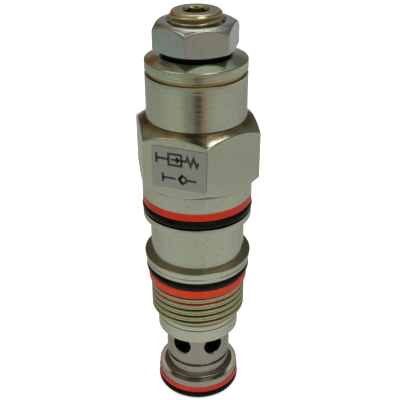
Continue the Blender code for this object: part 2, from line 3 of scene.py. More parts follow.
import bmesh
import bpy
import numpy as np
from mathutils import Matrix, Vector
from mathutils.kdtree import KDTree


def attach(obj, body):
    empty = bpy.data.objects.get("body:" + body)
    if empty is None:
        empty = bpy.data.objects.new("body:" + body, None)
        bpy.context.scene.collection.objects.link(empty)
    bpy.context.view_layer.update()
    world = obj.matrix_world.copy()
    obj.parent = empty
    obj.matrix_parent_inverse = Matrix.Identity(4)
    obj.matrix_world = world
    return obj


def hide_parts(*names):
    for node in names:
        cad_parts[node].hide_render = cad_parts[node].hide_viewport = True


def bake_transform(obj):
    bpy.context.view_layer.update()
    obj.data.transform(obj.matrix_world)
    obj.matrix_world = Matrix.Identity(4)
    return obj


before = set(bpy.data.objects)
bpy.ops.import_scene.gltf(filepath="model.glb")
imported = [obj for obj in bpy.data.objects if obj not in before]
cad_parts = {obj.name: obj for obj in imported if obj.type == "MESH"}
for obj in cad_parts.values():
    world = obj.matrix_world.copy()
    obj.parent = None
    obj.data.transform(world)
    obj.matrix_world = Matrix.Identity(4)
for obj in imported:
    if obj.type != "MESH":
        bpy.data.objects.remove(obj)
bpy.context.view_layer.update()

# Lengths are in millimetres unless a line says otherwise, and angles in degrees where they are written out
MM = 0.001
AROUND = 180  # segments round the turned pieces
TAN30 = math.tan(math.radians(30))
SAME_PLACE = 1e-7  # metres; points closer than this are the same point


# ---------------------------------------------------------------- mesh building


def even_angles(count=AROUND, turn=0.0):
    return math.radians(turn) + np.arange(count) * math.tau / count


def hex_angles(turn, count=AROUND, half=0.66):
    """Evenly spaced angles, with extra ones up to half a corner's width from each of six corners."""
    base = np.arange(count) * 360.0 / count
    extra = [60.0 * k + half * s for k in range(6) for s in (-1.0, -0.7, -0.35, 0.35, 0.7, 1.0)]
    return np.radians(np.sort(np.concatenate([base, np.mod(extra, 360.0)])) + turn)


def hex_radius(angles, across_flats, turn, corner):
    """Radius of a hexagon with rounded corners at each angle."""
    apothem = across_flats / 2
    off = np.mod(angles - math.radians(turn), math.pi / 3)
    off = np.minimum(off, math.pi / 3 - off)
    centre = (apothem - corner) / math.cos(math.pi / 6)
    tangent = math.atan2(corner * 0.5, centre + corner * math.cos(math.pi / 6))
    flat = apothem / np.cos(math.pi / 6 - off)
    inside = np.maximum(corner**2 - (centre * np.sin(off)) ** 2, 0.0)
    return np.where(off < tangent, centre * np.cos(off) + np.sqrt(inside), flat)


def link_object(name, data):
    obj = bpy.data.objects.new(name, data)
    bpy.context.scene.collection.objects.link(obj)
    return obj


def level_row(radius, height):
    """A row of (radius, height) points that all lie at one height."""
    return np.stack([radius, np.full(len(radius), height)], -1)


def soften(outline, count, width=0.07, steps=3, closed=True):
    """Rows of an outline whose corners are rounded.

    A point is (radius, height) or (radius, height, width), and a radius or height may differ round the
    piece. It returns the rows, and how sharply each row bends: above 0 on an outer edge.
    """
    points = np.zeros((len(outline), count, 2))
    widths = []
    for k, point in enumerate(outline):
        points[k, :, 0] = point[0]
        points[k, :, 1] = point[1]
        widths.append(point[2] if len(point) > 2 else width)
    rows, bends = [], []
    last = len(outline) - 1
    for k in range(len(outline)):
        corner = points[k]
        on_axis = float(np.max(np.abs(corner[:, 0]))) < 1e-9
        if (not closed and k in (0, last)) or widths[k] == 0.0 or on_axis:
            rows.append(corner)
            bends.append(np.zeros(count))
            continue
        back = points[k - 1] - corner
        ahead = points[(k + 1) % len(outline)] - corner
        back_length = np.linalg.norm(back, axis=1, keepdims=True) + 1e-12
        ahead_length = np.linalg.norm(ahead, axis=1, keepdims=True) + 1e-12
        reach = np.minimum(widths[k], 0.45 * np.minimum(back_length, ahead_length))
        first = corner + back / back_length * reach
        third = corner + ahead / ahead_length * reach
        turn = (back[:, 0] * ahead[:, 1] - back[:, 1] * ahead[:, 0]) / (back_length * ahead_length)[:, 0]
        for s in range(steps + 1):
            t = s / steps
            rows.append((1 - t) ** 2 * first + 2 * t * (1 - t) * corner + t**2 * third)
            bends.append(turn * 4 * t * (1 - t))
    return rows, bends


def skin(name, parts, angles):
    """A closed surface through rows of (radius, height) points, in millimetres, at these angles."""
    rows = np.concatenate([np.array(rows) for rows, bends in parts])
    bends = np.concatenate([np.array(bends) for rows, bends in parts])
    count = len(angles)
    grid = np.zeros((len(rows), count, 3))
    grid[:, :, 0] = rows[:, :, 0] * np.cos(angles)
    grid[:, :, 1] = rows[:, :, 0] * np.sin(angles)
    grid[:, :, 2] = rows[:, :, 1]
    k0, i0 = np.meshgrid(np.arange(len(rows)), np.arange(count), indexing="ij")
    k1 = (k0 + 1) % len(rows)
    i1 = (i0 + 1) % count
    quads = np.stack([k0 * count + i0, k1 * count + i0, k1 * count + i1, k0 * count + i1], -1).reshape(-1, 4)
    mesh = bpy.data.meshes.new(name)
    mesh.from_pydata((grid.reshape(-1, 3) * MM).tolist(), [], quads.tolist())
    bend = mesh.attributes.new("bend", "FLOAT", "POINT")
    bend.data.foreach_set("value", bends.reshape(-1).astype(np.float32))
    shape = bmesh.new()
    shape.from_mesh(mesh)
    bmesh.ops.remove_doubles(shape, verts=shape.verts, dist=2 * SAME_PLACE)
    bmesh.ops.dissolve_degenerate(shape, edges=shape.edges, dist=SAME_PLACE)
    if shape.calc_volume(signed=True) < 0:
        bmesh.ops.reverse_faces(shape, faces=shape.faces)
    shape.to_mesh(mesh)
    shape.free()
    mesh.shade_smooth()
    return link_object(name, mesh)


def even_normals(obj):
    """Shade large faces flat and let the small rounded edges carry the turn."""
    step = obj.modifiers.new("Even normals", "WEIGHTED_NORMAL")
    step.mode = "FACE_AREA"
    step.weight = 90
    step.keep_sharp = True


def lathe(name, outline, angles=None, **options):
    """A turned piece with this closed outline; the options are those of soften."""
    angles = even_angles() if angles is None else angles
    return skin(name, [soften(outline, len(angles), **options)], angles)


def cutter(name, outline, height, turn, sides):
    """A turned cutter that lies along a line out from the axis: its outline is (radius, distance)."""
    obj = lathe(name, outline, even_angles(sides), width=0.0)
    obj.data.transform(
        Matrix.Translation((0.0, 0.0, height * MM))
        @ Matrix.Rotation(math.radians(turn), 4, "Z")
        @ Matrix.Rotation(math.radians(90), 4, "Y")
    )
    return obj


def cut(obj, tool):
    """Take a cutter away from a piece for good, and leave the hole with sharp edges."""
    old = KDTree(len(obj.data.vertices))
    for vertex in obj.data.vertices:
        old.insert(vertex.co, vertex.index)
    old.balance()
    step = obj.modifiers.new("Cut", "BOOLEAN")
    step.operation = "DIFFERENCE"
    step.solver = "EXACT"
    step.object = tool
    bpy.context.view_layer.update()
    graph = bpy.context.evaluated_depsgraph_get()
    mesh = bpy.data.meshes.new_from_object(obj.evaluated_get(graph), depsgraph=graph)
    obj.modifiers.clear()
    shape = bmesh.new()
    shape.from_mesh(mesh)
    made = {v for v in shape.verts if old.find(v.co)[2] > SAME_PLACE}
    for edge in shape.edges:
        if made.issuperset(edge.verts) and edge.calc_face_angle(0.0) > math.radians(30):
            edge.smooth = False
    shape.to_mesh(mesh)
    shape.free()
    obj.data = mesh
    bpy.data.objects.remove(tool, do_unlink=True)


def ramp(t, soft=0.012):
    """0 below 0 and 1 above 1, straight between, with soft corners."""
    return 0.5 * (np.sqrt(t**2 + soft) - np.sqrt((t - 1) ** 2 + soft) + 1)


def off_crest(angles, height, start, pitch):
    """How far each point lies from the middle of a thread's crest, in turns."""
    phase = (height - start) / pitch - angles / math.tau
    return np.abs(phase - np.round(phase))


def ridge(away, edge=0.44, flank=0.34):
    """How far up a thread's flank each point lies, from 0 at the root to 1 at the crest."""
    return ramp((edge - away) / flank)


def paint(obj, choose):
    """Give each face the material that choose(distance from the axis, height, normal's z) picks."""
    for face in obj.data.polygons:
        middle = face.center / MM
        face.material_index = choose(math.hypot(middle.x, middle.y), middle.z, face.normal.z)


def finish_piece(obj, body, nodes, slot, *materials):
    """Give a piece its materials and its body, and hide the CAD nodes that it stands for."""
    obj.data.materials.clear()
    for material in materials:
        obj.data.materials.append(material)
    even_normals(obj)
    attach(obj, body)
    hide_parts(*nodes)


# ---------------------------------------------------------------- materials


def add(tree, kind, inputs=None, **settings):
    """Add a node. An input is a value, or another node's output to link."""
    made = tree.nodes.new(kind)
    for key, value in settings.items():
        setattr(made, key, value)
    for key, value in (inputs or {}).items():
        if isinstance(value, bpy.types.NodeSocket):
            tree.links.new(value, made.inputs[key])
        else:
            made.inputs[key].default_value = value
    return made


def new_material(name, base, roughness, metallic, **sockets):
    material = bpy.data.materials.new(name)
    material.use_nodes = True
    tree = material.node_tree
    shader = tree.nodes["Principled BSDF"]
    shader.inputs["Base Color"].default_value = (*base, 1.0)
    shader.inputs["Roughness"].default_value = roughness
    shader.inputs["Metallic"].default_value = metallic
    for key, value in sockets.items():
        shader.inputs[key.replace("_", " ")].default_value = value
    return material, tree, shader


def turned_coordinate(tree):
    """A point's place in metres, and its (radius, 0, height) in millimetres.

    A texture over the second one runs round the axis like a tool's marks.
    """
    place = add(tree, "ShaderNodeTexCoord").outputs["Object"]
    flat = add(tree, "ShaderNodeVectorMath", {0: place, 1: (1.0, 1.0, 0.0)}, operation="MULTIPLY")
    radius = add(tree, "ShaderNodeVectorMath", {0: flat.outputs[0]}, operation="LENGTH").outputs["Value"]
    height = add(tree, "ShaderNodeSeparateXYZ", {0: place}).outputs["Z"]
    joined = add(tree, "ShaderNodeCombineXYZ", {0: radius, 2: height}).outputs[0]
    along = add(tree, "ShaderNodeVectorMath", {0: joined, "Scale": 1.0 / MM}, operation="SCALE")
    return place, along.outputs[0]


def mix(tree, factor, a, b):
    """A colour between a and b, each a colour or another node's output. The factor is an output."""
    made = add(tree, "ShaderNodeMix", data_type="RGBA", clamp_result=True)
    tree.links.new(factor, made.inputs[0])
    for key, value in ((6, a), (7, b)):
        if isinstance(value, bpy.types.NodeSocket):
            tree.links.new(value, made.inputs[key])
        else:
            made.inputs[key].default_value = (*value, 1.0)
    return made.outputs[2]


def span(tree, value, low, high, to_low=0.0, to_high=1.0):
    """Stretch low..high of a value over to_low..to_high, and hold it at the ends."""
    return add(
        tree,
        "ShaderNodeMapRange",
        {"Value": value, "From Min": low, "From Max": high, "To Min": to_low, "To Max": to_high},
        clamp=True,
    ).outputs[0]


def noise(tree, place, scale, detail, roughness=0.5):
    inputs = {"Vector": place, "Scale": scale, "Detail": detail, "Roughness": roughness}
    return add(tree, "ShaderNodeTexNoise", inputs).outputs[0]


def emboss(tree, shader, height, strength, depth=0.01):
    """Let a texture raise the surface, by up to this depth in millimetres."""
    bump = add(tree, "ShaderNodeBump", {"Strength": strength, "Distance": depth * MM, "Height": height})
    tree.links.new(bump.outputs[0], shader.inputs["Normal"])


def bend_of(tree):
    """How sharply the surface bends: above 0 on an outer edge, and below 0 in a corner or a root."""
    return add(tree, "ShaderNodeAttribute", attribute_name="bend").outputs["Fac"]


EDGE_TINT = (0.72, 0.72, 0.70)


def plated(name, base, tint, dark, roughness, anisotropic, groove=0.25, shade_band=None):
    """Plated or bare steel with tool marks round the axis, cloudy tints, outer edges lighter from wear and
    painted highlight, and painted shade in corners and thread roots.

    A shade band is (inner radius, outer radius, colour): painted shade that fades out from the one to the
    other.
    """
    material, tree, shader = new_material(name, base, roughness, 1.0, Anisotropic=anisotropic)
    shader.inputs["Specular Tint"].default_value = (*EDGE_TINT, 1.0)
    place, along = turned_coordinate(tree)
    cloud = noise(tree, place, 170.0, 5.0, 0.6)
    speck = noise(tree, place, 2300.0, 3.0)
    marks = noise(tree, along, 3.2, 3.0, 0.65)
    colour = mix(tree, span(tree, cloud, 0.38, 0.68), base, tint)
    colour = mix(tree, span(tree, speck, 0.54, 0.74, 0.0, 0.5), colour, dark)
    colour = mix(tree, span(tree, marks, 0.5, 0.75, 0.0, 0.12), colour, dark)
    # Painted shade, darkest at the inner radius and gone by the outer one.
    if shade_band:
        inner, outer, tone = shade_band
        radius = add(tree, "ShaderNodeSeparateXYZ", {0: along}).outputs["X"]
        colour = mix(tree, span(tree, radius, inner, outer, 0.85, 0.0), colour, tone)
    bend = bend_of(tree)
    # Outer edges and thread crests lighter: edge wear plus painted highlight.
    lighter_edge = tuple(min(1.0, c * 1.35) for c in base)
    colour = mix(tree, span(tree, bend, 0.05, 0.6, 0.0, 0.7), colour, lighter_edge)
    # Corners and thread roots darker: painted shade.
    colour = mix(tree, span(tree, bend, -0.6, -0.05, 0.75, 0.0), colour, dark)
    tree.links.new(colour, shader.inputs["Base Color"])
    rough = span(tree, marks, 0.3, 0.7, roughness - 0.05, roughness + 0.06)
    tree.links.new(rough, shader.inputs["Roughness"])
    emboss(tree, shader, marks, groove)
    if anisotropic:
        tangent = add(tree, "ShaderNodeTangent", direction_type="RADIAL", axis="Z")
        tree.links.new(tangent.outputs[0], shader.inputs["Tangent"])
        shader.inputs["Anisotropic Rotation"].default_value = 0.25
    return material


def rubber(name, base, roughness):
    """Moulded rubber with a fine grain and a film of oil."""
    material, tree, shader = new_material(name, base, roughness, 0.0, Specular_IOR_Level=0.07)
    place = add(tree, "ShaderNodeTexCoord").outputs["Object"]
    grain = noise(tree, place, 2600.0, 3.0)
    film = noise(tree, place, 260.0, 4.0)
    lighter = tuple(c * 2.0 + 0.002 for c in base)
    colour = mix(tree, span(tree, film, 0.35, 0.7), base, lighter)
    tree.links.new(colour, shader.inputs["Base Color"])
    rough = span(tree, film, 0.3, 0.7, roughness - 0.1, roughness + 0.12)
    tree.links.new(rough, shader.inputs["Roughness"])
    emboss(tree, shader, grain, 0.25, 0.02)
    return material


def seal_plastic(name, base, deep):
    """Machined seal plastic with fine lines round it and a waxy gloss."""
    material, tree, shader = new_material(name, base, 0.42, 0.0, Specular_IOR_Level=0.16)
    place, along = turned_coordinate(tree)
    marks = noise(tree, along, 5.0, 2.0)
    cloud = noise(tree, place, 220.0, 4.0)
    colour = mix(tree, span(tree, cloud, 0.35, 0.7), base, deep)
    bend = bend_of(tree)
    lighter_edge = tuple(c * 1.25 + 0.01 for c in base)
    colour = mix(tree, span(tree, bend, 0.05, 0.6, 0.0, 0.4), colour, lighter_edge)
    tree.links.new(colour, shader.inputs["Base Color"])
    tree.links.new(span(tree, marks, 0.3, 0.7, 0.34, 0.52), shader.inputs["Roughness"])
    emboss(tree, shader, marks, 0.2)
    return material


def foil(name):
    """Satin foil with a brushed grain across it."""
    material, tree, shader = new_material(name, (0.30, 0.31, 0.28), 0.42, 0.75)
    place = add(tree, "ShaderNodeTexCoord").outputs["Object"]
    stretched = add(
        tree, "ShaderNodeVectorMath", {0: place, 1: (300.0, 300.0, 5000.0)}, operation="MULTIPLY"
    ).outputs[0]
    grain = noise(tree, stretched, 1.0, 3.0)
    cloud = noise(tree, place, 400.0, 3.0)
    colour = mix(tree, span(tree, grain, 0.3, 0.7), (0.28, 0.29, 0.25), (0.34, 0.35, 0.31))
    colour = mix(tree, span(tree, cloud, 0.5, 0.75, 0.0, 0.4), colour, (0.25, 0.26, 0.23))
    tree.links.new(colour, shader.inputs["Base Color"])
    tree.links.new(span(tree, grain, 0.3, 0.7, 0.36, 0.5), shader.inputs["Roughness"])
    emboss(tree, shader, grain, 0.15)
    return material


def ink(name):
    """Matt dark ink that sits unevenly on the foil."""
    material, tree, shader = new_material(name, (0.03, 0.02, 0.02), 0.55, 0.0)
    place = add(tree, "ShaderNodeTexCoord").outputs["Object"]
    wear = noise(tree, place, 2200.0, 4.0)
    colour = mix(tree, span(tree, wear, 0.4, 0.75), (0.018, 0.010, 0.010), (0.05, 0.038, 0.036))
    tree.links.new(colour, shader.inputs["Base Color"])
    tree.links.new(span(tree, wear, 0.3, 0.7, 0.45, 0.65), shader.inputs["Roughness"])
    return material


ZINC_TURNED = plated("Zinc turned", (0.42, 0.44, 0.345), (0.44, 0.45, 0.34), (0.24, 0.23, 0.15), 0.17, 0.4)
ZINC_FLAT = plated("Zinc flats", (0.42, 0.44, 0.345), (0.43, 0.44, 0.35), (0.32, 0.32, 0.24), 0.24, 0.0, 0.12)
STEEL_TURNED = plated(
    "Fine turned steel", (0.295, 0.268, 0.225), (0.32, 0.295, 0.25), (0.17, 0.15, 0.12), 0.22, 0.5
)
THREAD_ZINC = plated("Thread zinc", (0.32, 0.33, 0.195), (0.40, 0.31, 0.155), (0.10, 0.05, 0.02), 0.22, 0.0)
# Red copy of the thread zinc: painted reflection of the red backup ring over the thread.
RED_REFLECTION_ZINC = plated(
    "Thread zinc by the red ring", (0.85, 0.17, 0.09), (0.85, 0.15, 0.08), (0.85, 0.14, 0.07), 0.3, 0.0
)
# Its band from 10.2 to 11.4 mm is painted shade where the chamfer meets the foot of the cap.
CHAMFER_ZINC = plated(
    "Chamfer zinc", (0.41, 0.42, 0.34), (0.41, 0.40, 0.30), (0.20, 0.16, 0.08), 0.12, 0.0,
    shade_band=(10.2, 11.4, (0.14, 0.10, 0.035)),
)
# Much darker zinc for the shoulder cone under the land's lip: painted shade.
SHADED_SHOULDER_ZINC = plated("Shoulder zinc", (0.17, 0.17, 0.10), (0.22, 0.18, 0.10), (0.10, 0.08, 0.04), 0.42, 0.0)
# Darker, browner zinc for the cap's groove and the screw's key socket: painted shade.
SHADED_GROOVE_ZINC = plated("Groove zinc", (0.30, 0.24, 0.12), (0.42, 0.32, 0.15), (0.14, 0.10, 0.05), 0.25, 0.3)
# Brighter copy of the yellow zinc for the screw's thread and shoulder: painted highlight.
LIT_GOLDEN_ZINC = plated("Golden zinc", (0.52, 0.48, 0.32), (0.56, 0.44, 0.24), (0.24, 0.16, 0.06), 0.16, 0.0)
YELLOW_ZINC = plated("Yellow zinc", (0.30, 0.30, 0.21), (0.38, 0.33, 0.22), (0.22, 0.16, 0.07), 0.18, 0.3)
BLUE_ZINC = plated("Blue zinc", (0.38, 0.41, 0.40), (0.42, 0.43, 0.39), (0.24, 0.24, 0.20), 0.22, 0.0, 0.12)
# Near-black steel: painted shade in grooves and inside the sleeve's ports, and a dark joint line over the
# collar.
DARK_STEEL = plated("Dark steel", (0.05, 0.042, 0.035), (0.08, 0.065, 0.05), (0.02, 0.016, 0.012), 0.3, 0.0)
# Dark brown steel for the lower part of the nose's fillet: painted shade.
FILLET_SHADE_STEEL = plated("Steel with painted fillet shade", (0.15, 0.125, 0.085), (0.22, 0.19, 0.14), (0.07, 0.055, 0.03), 0.24, 0.3)
# Darkened well below bare steel: painted shade on the pieces seen inside the valve.
HARD_STEEL = plated(
    "Hardened steel", (0.10, 0.095, 0.085), (0.14, 0.125, 0.11), (0.05, 0.045, 0.035), 0.22, 0.5
)
SPRING_STEEL = plated("Spring steel", (0.20, 0.20, 0.21), (0.26, 0.25, 0.25), (0.10, 0.10, 0.10), 0.32, 0.0)
BLACK_RUBBER = rubber("Black rubber", (0.002, 0.002, 0.0023), 0.30)
RED_PLASTIC = seal_plastic("Red seal plastic", (0.53, 0.026, 0.007), (0.43, 0.018, 0.006))
ORANGE_PLASTIC = seal_plastic("Orange seal plastic", (0.63, 0.050, 0.014), (0.52, 0.038, 0.011))
FOIL = foil("Label foil")
INK = ink("Label ink")


# ---------------------------------------------------------------- body, cap and seals

HEX_AF = 22.225  # across the flats
HEX_CORNER = 0.22  # radius of its corners
CORNER_R = HEX_AF / math.sqrt(3)  # out to its sharp corners
CAP_R = 9.65
LAND_R = 10.92
FOOT_R = 8.62  # body under the thread, and the collar
HEX_TOP = 62.95 + (CORNER_R - CAP_R) * TAN30
HEX_FOOT_SLOPE = math.tan(math.radians(38))
HEX_FOOT = 53.6 - (CORNER_R - LAND_R) * HEX_FOOT_SLOPE
CHAMFER_SLOPE = 0.517  # of the upper chamfer where it leaves the cap
CHAMFER_CURVE = 0.03  # how much it falls away outwards, per mm squared

CAVITY_PITCH = 1.5
THREAD_START = 20.66  # height of a crest at angle 0
THREAD_TOP = 28.85
THREAD_FOOT = 20.7
THREAD_ROOT = 9.1  # radius
THREAD_DEPTH = 0.76
# The thread's roots there are painted red: a painted reflection of the red ring.
RED_REFLECTION_BAND = (26.5, 27.75)  # where the groove mirrors the red ring over it


def cavity_thread(angles):
    """Rows of the cavity thread from its top down, with its lead-in chamfer and the seam on its crest.

    Near the top the ridges fade away and the core widens into the wall of the gland over it.
    """
    widens_from, faded_at = 28.35, 28.72
    rows, bends = [], []
    for height in np.arange(THREAD_TOP, THREAD_FOOT - 0.001, -0.042):
        rise = height - THREAD_FOOT
        core = THREAD_ROOT + max(0.0, (height - widens_from) * 0.9)
        core = min(core, FOOT_R + rise)
        away = off_crest(angles, height, THREAD_START, CAVITY_PITCH)
        up = ridge(away, 0.46, 0.17)
        seam = np.exp(-((away / 0.05) ** 2))
        fade = min(1.0, max(0.0, (faded_at - height) / 0.3))
        radius = np.minimum(THREAD_ROOT + (THREAD_DEPTH * up - 0.05 * seam) * fade, FOOT_R + 0.15 + rise)
        rows.append(level_row(np.maximum(radius, core), height))
        # Bend values make the roots and the crest's seam darker, painted shade, and the crests a little
        # lighter, painted highlight.
        bends.append(up - 0.6 - 0.8 * seam)
    return rows, bends


BODY_MATERIALS = (
    ZINC_TURNED, ZINC_FLAT, THREAD_ZINC, SHADED_SHOULDER_ZINC, CHAMFER_ZINC, RED_REFLECTION_ZINC, DARK_STEEL,
)
TURNED, FLAT, THREAD, SHADED_SHOULDER, CHAMFER, RED_REFLECTION, DARK_LINE = range(len(BODY_MATERIALS))


def body_material(out, height, slope):
    """Index of a face's material in BODY_MATERIALS."""
    if out > 11.05 and 53.5 < height < 63.5 and abs(slope) < 0.02:
        return FLAT
    if out > 8.7 and THREAD_FOOT < height < 28.8:
        # Roots under the red ring take the red zinc: painted reflection.
        return RED_REFLECTION if RED_REFLECTION_BAND[0] < height < RED_REFLECTION_BAND[1] and out < 9.6 else THREAD
    # Painted shade in the groove under the thread, and a dark joint line where the body meets the collar.
    if 8.4 < out < 8.7 and (height < 19.45 or THREAD_FOOT - 0.25 < height < THREAD_FOOT - 0.03):
        return DARK_LINE
    # The shoulder cone under the lip takes the darker zinc: painted shade.
    if out > 9.6 and 35.1 < height < 35.8:
        return SHADED_SHOULDER
    if out > CAP_R and 62.4 < height < HEX_TOP and slope > 0.6:
        return CHAMFER
    return TURNED


def make_body():
    """Hexagon, lands, waist, flange and thread in one piece, with its cross-drilled pilot orifice."""
    angles = hex_angles(0.0)
    count = len(angles)
    corner = hex_radius(angles, HEX_AF, 0.0, HEX_CORNER)
    low_z = HEX_FOOT + (corner - LAND_R) * HEX_FOOT_SLOPE
    out = [CAP_R + (corner - CAP_R) * k / 6 for k in range(1, 7)]
    chamfer = [(r, HEX_TOP - (r - CAP_R) * (CHAMFER_SLOPE + CHAMFER_CURVE * (r - CAP_R))) for r in out]
    upper = soften(
        [
            (5.2, 30.6, 0.05), (5.2, 46.0, 0.05), (6.4, 46.0, 0.05), (6.4, 56.0, 0.05),
            (8.45, 56.0, 0.05), (8.45, HEX_TOP, 0.05), (CAP_R, HEX_TOP, 0.05),
            *((r, z, 0.0) for r, z in chamfer[:-1]),
            (*chamfer[-1], 0.3), (corner, low_z, 0.12), (LAND_R, HEX_FOOT, 0.2), (LAND_R, 48.9, 0.08),
            (9.1, 48.9, 0.05), (9.1, 45.2, 0.05), (LAND_R, 45.2, 0.08), (LAND_R, 43.85, 0.1),
            (LAND_R - 0.2, 43.65, 0.05), (9.55, 43.65, 0.15), (9.55, 37.2, 0.0), (9.55, 35.76, 0.12),
            (10.95, 35.06, 0.1), (10.8, 33.9, 0.03), (10.62, 33.82, 0.03), (10.62, 33.7, 0.03),
            (10.74, 33.62, 0.03), (10.65, 32.8, 0.08), (8.65, 32.8, 0.05), (8.65, THREAD_TOP, 0.05),
            (9.5, THREAD_TOP),
        ],
        count, closed=False,
    )
    lower = soften(
        [
            (FOOT_R, THREAD_FOOT - 0.03), (8.5, THREAD_FOOT - 0.13, 0.02),
            (FOOT_R, THREAD_FOOT - 0.25, 0.02), (FOOT_R, 19.35, 0.11), (7.65, 19.35, 0.05),
            (7.65, 22.5, 0.05), (4.2, 22.5, 0.05), (4.2, 25.2, 0.05), (5.2, 25.2, 0.05),
            (5.2, 26.9, 0.05), (4.2, 26.9, 0.05), (4.2, 30.0, 0.05),
        ],
        count, closed=False,
    )
    body = skin("hex_body_fine", [upper, cavity_thread(angles), lower], angles)
    drill = cutter("pilot_drill", [(0.0, -15.0), (0.6, -15.0), (0.6, 15.0), (0.0, 15.0)], 36.5, 6.0, 24)
    cut(body, drill)
    finish_piece(body, "valve_body", ["hex_body"], "zinc_plate", *BODY_MATERIALS)
    paint(body, body_material)


def make_cap():
    """Round cap with a groove under its rim and two fine turned lines."""
    line_r = CAP_R - 0.018
    groove_r = CAP_R - 0.45
    outline = [
        (5.05, 76.9, 0.1), (7.3, 76.9, 0.2), (CAP_R - 0.15, 76.02, 0.05), (CAP_R, 75.88, 0.05),
        (CAP_R, 74.78, 0.02), (line_r, 74.7, 0.02), (CAP_R, 74.62, 0.02), (CAP_R, 74.24, 0.06),
        (groove_r, 74.2, 0.06), (groove_r, 73.44, 0.06), (CAP_R, 73.4, 0.06), (CAP_R, 72.28, 0.02),
        (line_r, 72.2, 0.02), (CAP_R, 72.12, 0.02), (CAP_R, HEX_TOP + 0.1, 0.05),
        (8.35, HEX_TOP + 0.1, 0.04), (8.35, 60.3, 0.04), (7.2, 60.3, 0.04), (7.2, 58.5, 0.04),
        (8.35, 58.5, 0.04), (8.35, 56.1, 0.06), (6.2, 56.1, 0.06), (6.2, 72.2, 0.06),
        (5.05, 72.2, 0.06),
    ]
    cap = lathe("adjust_cap_fine", outline)
    finish_piece(cap, "valve_body", ["adjust_cap"], "zinc_plate", ZINC_TURNED, SHADED_GROOVE_ZINC)
    # The groove takes the darker zinc: painted shade.
    paint(cap, lambda out, height, slope: int(9.0 < out < CAP_R - 0.07 and 73.38 < height < 74.26))


def make_collar():
    outline = [
        (7.55, 20.3), (7.55, 19.25, 0.03), (FOOT_R, 19.25, 0.08), (FOOT_R, 16.43, 0.05),
        (8.52, 16.33, 0.05), (6.98, 16.33), (6.98, 20.3),
    ]
    finish_piece(
        lathe("retaining_collar_fine", outline), "valve_body", ["retaining_collar"], "zinc_plate", ZINC_TURNED
    )


def round_ring(name, floor, surface, middle, room, sides=28):
    """An O-ring in a groove of this width, from its floor's radius to the wall that it seals on."""
    clearance = 0.04
    section = min(abs(surface - floor) / 2, room / 2) - clearance
    centre = floor + math.copysign(section + clearance, surface - floor)
    turns = np.arange(sides) * math.tau / sides
    rows = np.zeros((sides, AROUND, 2))
    rows[:, :, 0] = (centre + section * np.cos(turns))[:, None]
    rows[:, :, 1] = (middle - section * np.sin(turns))[:, None]
    return skin(name + "_fine", [(rows, np.zeros((sides, AROUND)))], even_angles())


def make_round_rings():
    rings = (
        ("o_ring_upper", "valve_body", 9.1, 11.23, 46.2, 2.0),
        ("o_ring_middle", "valve_body", 8.65, 10.78, 31.75, 2.1),
        ("o_ring_nose", "nose_assembly", 7.1, 8.97, 1.675, 1.85),
        ("cap_o_ring", "valve_body", 7.2, 8.4, 59.4, 1.8),
        ("stem_o_ring", "valve_body", 5.2, 4.05, 26.05, 1.7),
        ("piston_o_ring", "poppet", 4.0, 5.16, 41.15, 1.7),
        ("adjuster_o_ring", "spring_adjuster", 5.1, 6.16, 66.4, 1.4),
        ("check_seat_o_ring", "check_seat", 4.35, 5.26, 7.4, 1.2),
    )
    for name, body, floor, surface, middle, room in rings:
        obj = round_ring(name, floor, surface, middle, room)
        finish_piece(obj, body, [name], "seal_rubber", BLACK_RUBBER)


def make_backup_rings():
    """The three backup rings beside the O-rings, and the seal washer under the nut."""
    gap = 0.05
    rings = (
        ("backup_ring_upper", "valve_body", 9.2, LAND_R, 47.2, 48.9),
        ("backup_ring_middle", "valve_body", 8.75, 10.3, THREAD_TOP, 30.7),
        ("backup_ring_nose", "nose_assembly", 7.2, 8.8, 2.6, 3.78),
    )
    for name, body, inner, outer, low, high in rings:
        low += gap
        high -= gap
        outline = [(outer, high, 0.16), (outer, low, 0.16), (inner, low), (inner, high)]
        obj = lathe(name + "_fine", outline, steps=4)
        plastic = ORANGE_PLASTIC if name == "backup_ring_middle" else RED_PLASTIC
        finish_piece(obj, body, [name], "backup_ring_red", plastic)
    low, high = 76.95, 77.65
    outline = [(6.5, high, 0.15), (6.5, low, 0.15), (5.08, low), (5.08, high)]
    obj = lathe("lock_nut_seal_fine", outline, steps=4)
    finish_piece(obj, "nut_washer", ["lock_nut_seal"], "seal_rubber", BLACK_RUBBER)


# ---------------------------------------------------------------- nose

PORT_TURN = 19.7  # of the first side port


def make_sleeve():
    """Bare steel sleeve with six flared side ports."""
    outline = [
        (7.5, 22.3), (7.5, 20.5), (6.88, 20.5, 0.05), (6.88, 9.15, 0.1), (6.73, 8.42, 0.05),
        (6.1, 8.42), (6.1, 9.75), (5.3, 9.75), (5.3, 10.45), (4.75, 10.45, 0.1), (4.75, 22.3),
    ]
    sleeve = lathe("port_sleeve_fine", outline, even_angles(AROUND, PORT_TURN))
    flare = [(0.0, 2.0), (2.14, 2.0), (2.14, 6.62), (2.5, 6.98), (2.5, 12.0), (0.0, 12.0)]
    for k in range(6):
        cut(sleeve, cutter("port_drill", flare, 13.52, PORT_TURN + 60.0 * k, 48))
    finish_piece(sleeve, "nose_assembly", ["port_sleeve"], "ground_steel", STEEL_TURNED, DARK_STEEL)
    # Bore and port walls take the near-black steel: painted shade inside the ports.
    paint(sleeve, lambda out, height, slope: int(9.2 < height < 20.0 and out < 6.6))


